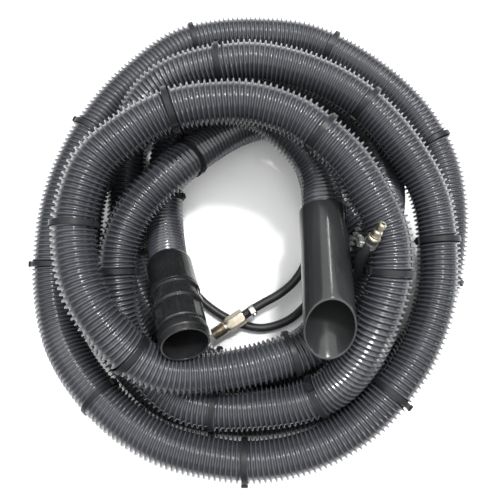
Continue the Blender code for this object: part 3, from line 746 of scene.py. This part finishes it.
def make_cuff(lay, materials):
    """The swivel cuff: the collar on the hose and the body that turns on it."""
    axis = lay.path[0] - lay.path[1]
    axis /= np.linalg.norm(axis)
    frame = frame_at(lay.path[0] - CUFF_SOCKET * axis, axis)
    collar = [(30.2, 0), (31.5, 0), (33, 5), (33, 30), (33, 57), (34.2, 58), (34.2, 62), (29.5, 62),
              (29.5, 70), (28.2, 70), (28.2, 73), (29.5, 73), (29.5, 86), (25, 86), (25, 39), (30.2, 39)]
    made = lathe("swivel_collar", filleted(collar), frame, materials["cuff"], 160, collar_shape)
    dress(made, "root", "cuff_black", "cuff_collar")
    body = [(29.9, 62.5), (34.2, 62.5), (34.2, 66.5), (32.4, 67), (32.4, 69), (32.4, 70), (32.4, 80.5),
            (32.4, 81.5), (32.4, 83), (34.5, 84.5), (34.5, 92), (32.2, 93), (32, 93.6), (32, 94.6),
            (32, 124), (32, 125), (30.8, 126), (30.8, 129.5), (31.8, 131), (32.6, 133), (32.6, 141),
            (31.8, 143), (30.8, CUFF_LENGTH), (28.6, CUFF_LENGTH), (26.5, 120), (26.5, 89.2),
            (29.9, 89.2), (29.9, 73), (31.2, 73), (31.2, 70), (29.9, 70)]
    made = lathe("swivel_body", filleted(body, 0.4), frame, materials["cuff"], 160, body_shape)
    dress(made, "cuff", "cuff_black", "cuff_swivel_body")
    return frame


# ---------------------------------------------------------------- nozzle
def make_nozzle(lay, materials):
    """A plain pipe, its mouth cut on a slant so that the lower side is the longer."""
    axis = lay.path[-1] - lay.path[-2]
    axis /= np.linalg.norm(axis)
    frame = frame_at(lay.path[-1] - NOZZLE_SOCKET * axis, axis)
    inner = NOZZLE_R - NOZZLE_WALL
    upper = frame.inverted().to_3x3() @ Vector((0, 0, 1))
    upper_angle = math.atan2(upper.y, upper.x)
    middle = (NOZZLE_LONG + NOZZLE_SHORT) / 2
    slope = (NOZZLE_LONG - NOZZLE_SHORT) / (2 * NOZZLE_R)

    def slant(angle, radius, height):
        share = np.clip(height / middle, 0, 1)
        return radius, height - share * slope * radius * np.cos(angle - upper_angle)

    def edge(angle, radius, height):
        return {"around": angle, "edge": step_between(height, middle - 0.6, middle - 0.1)}

    rows = np.linspace(0.5, middle - 1.2, 24)
    outside = [(NOZZLE_R, z) for z in rows]
    rim = [(NOZZLE_R - 0.1, middle - 0.45), (NOZZLE_R - 0.5, middle), (inner + 0.5, middle),
           (inner + 0.1, middle - 0.45)]
    inside = [(inner, z) for z in rows[::-1]]
    back = [(inner + 0.4, 0), (NOZZLE_R - 0.4, 0)]
    pipe = lathe("nozzle_pipe", outside + rim + inside + back, frame, materials["pipe"], 128, slant,
                 values=edge)
    dress(pipe, "root", "pipe_grey", "nozzle_tube")


# ---------------------------------------------------------------- air line ends
def end_frame(tail, x_hint):
    """Frame at the end of the line, Z straight on."""
    curve = even_curve(tail_points(tail), TAIL_STEP)
    return frame_at(curve[-1], curve[-1] - curve[-2], x_hint)


def make_thread_fitting(materials):
    """The threaded end: a hexagon with chamfered corners, a neck and a pipe thread."""
    frame = end_frame(THREAD_TAIL, (0, 0, 1))
    thread = []
    for k in range(THREADS):
        z = 35.5 + k * THREAD_PITCH
        thread += [(9.4, z), (10.4, z + 0.4 * THREAD_PITCH), (10.4, z + 0.6 * THREAD_PITCH)]
    top = 35.5 + THREADS * THREAD_PITCH
    profile = [(0, 0.3), (8, 0.3), (11.2, 0.3), (12.6, 1.6), (12.6, 8), (12.6, 24), (12.6, 29.6), (11.2, 31),
               (9.2, 31), (9.2, 35)] + thread + [(9.4, top), (8.6, 58), (6.2, 58), (6.0, 50), (0, 50)]

    def hexagon(angle, radius, height):
        flat = 10.9 / np.cos(sector(angle, 6))
        return np.where((height <= 31) & (radius > 9.3), np.minimum(radius, flat), radius), height

    made = lathe("hex_fitting", profile, frame, materials["nickel"], 96, hexagon, loop=False)
    dress(made, "root", "fitting_nickel", "thread_fitting")
    make_clamp("thread_clamp", 16, frame, materials)


def make_quick_plug(materials):
    """The quick-connect plug: a collar, a barrel, a groove and a nose."""
    frame = end_frame(PLUG_TAIL, (-0.8, 0.4, 0.5))
    profile = [(0, 22), (2.0, 22), (2.2, 26.6), (3.4, 27), (5.0, 25), (5.0, 20), (3.8, 18.5), (3.8, 15.5),
               (5.6, 14), (6.2, 12), (6.2, 8.6), (5.7, 8.2), (5.7, 7.4), (6.2, 7), (6.2, 4.5), (8.0, 4),
               (8.0, 1), (7, 0.3), (0, 0.3)]
    made = lathe("plug_body", filleted(profile, 0.3, loop=False), frame, materials["nickel"], 64, loop=False)
    dress(made, "root", "fitting_nickel", "quick_plug")
    make_clamp("plug_clamp", 9, frame, materials)


def make_clamp(prefix, back_mm, frame, materials):
    """A worm-drive clamp's slotted band, and a slotted hexagon screw in its housing."""
    here = frame @ Matrix.Translation((0, 0, -back_mm * MM))
    bore, outer, half = LINE_R + 0.5, LINE_R + 1.7, 4.5
    band = [(bore, -half), (outer, -half), (outer, -2.6), (outer, -2.4), (outer, 2.4), (outer, 2.6),
            (outer, half), (bore, half)]

    def slots(angle, radius, height):
        slot = (radius > outer - 0.1) & (np.abs(height) < 2.5) & (np.abs(sector(angle, 24)) < 0.06)
        return np.where(slot, radius - 0.4, radius), height

    made = lathe(prefix + "_strip", band, here, materials["steel"], 120, slots)
    dress(made, "root", "clamp_steel", prefix + "_band")
    lift = outer + 0.3 + 3.6
    across = here @ Matrix.Translation((lift * MM, 0, 0)) @ Matrix.Rotation(math.pi / 2, 4, "X")
    worm = [(0, -7), (2.0, -7), (2.2, -6.8), (2.2, 6.0), (3.4, 6.0), (4.0, 6.6), (4.0, 8.9), (3.4, 9.5),
            (1.6, 9.5), (1.4, 8.6), (0, 8.6)]

    def hexagon(angle, radius, height):
        flat = 3.46 / np.cos(sector(angle, 6))
        return np.where(radius > 3, np.minimum(radius, flat), radius), height

    made = lathe(prefix + "_worm", worm, across, materials["steel"], 48, hexagon, loop=False)
    dress(made, prefix + "_screw", "clamp_steel", prefix + "_screw")


# ---------------------------------------------------------------- set
def make_camera():
    data = bpy.data.cameras.new("camera")
    data.lens = LENS
    camera = bpy.data.objects.new("camera", data)
    bpy.context.scene.collection.objects.link(camera)
    camera.location = Vector(CAMERA_PLACE) * MM
    look = (Vector(CAMERA_AIM) - Vector(CAMERA_PLACE)).normalized()
    side = look.cross(Vector((0, 1, 0))).normalized()
    camera.matrix_world = Matrix((side, side.cross(look), -look)).transposed().to_4x4()
    camera.location = Vector(CAMERA_PLACE) * MM
    bpy.context.scene.camera = camera


def area_light(name, place_mm, aim_mm, size_mm, watts, colour=(1, 1, 1)):
    data = bpy.data.lights.new(name, "AREA")
    data.shape = "RECTANGLE"
    data.size, data.size_y = (side * MM for side in size_mm)
    data.energy = watts
    data.color = colour
    light = bpy.data.objects.new(name, data)
    bpy.context.scene.collection.objects.link(light)
    light.location = Vector(place_mm) * MM
    light.rotation_euler = (Vector(place_mm) - Vector(aim_mm)).to_track_quat("Z", "Y").to_euler()


def make_floor():
    """A pale matt floor, faintly mottled."""
    material = finish_material("floor", (0.88, 0.88, 0.88), (0.90, 0.90, 0.90), (0.6, 0.7), patch=3.0)
    reach = 6000
    corners = np.array([(-reach, -reach, 0), (reach, -reach, 0), (reach, reach, 0), (-reach, reach, 0)])
    floor = mesh_piece("floor", corners, np.array([[0, 1, 2, 3]]), material)


def make_light():
    scene = bpy.context.scene
    scene.view_settings.view_transform = "Standard"
    world = bpy.data.worlds.new("studio")
    world.use_nodes = True
    world.node_tree.nodes["Background"].inputs["Color"].default_value = (*WORLD_COLOUR, 1.0)
    world.node_tree.nodes["Background"].inputs["Strength"].default_value = WORLD_STRENGTH
    scene.world = world
    for row in LIGHTS:
        area_light(*row)


def main():
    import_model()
    make_camera()
    materials = make_materials()
    lay = Lay()
    hose = make_hose(lay, materials)
    line, line_points, line_length = make_line(lay, materials)
    for number, s in enumerate(tie_places(lay), 1):
        make_tie(number, lay, s, materials)
    make_cuff(lay, materials)
    make_nozzle(lay, materials)
    make_thread_fitting(materials)
    make_quick_plug(materials)
    for name, (key, slot) in KEPT.items():
        kept = bpy.data.objects[name]
        kept.data.materials.clear()
        kept.data.materials.append(materials[key])
    path = lay.at(np.linspace(0, lay.length, round(lay.length / 12)))[0] * MM
    make_floor()
    make_light()


main()
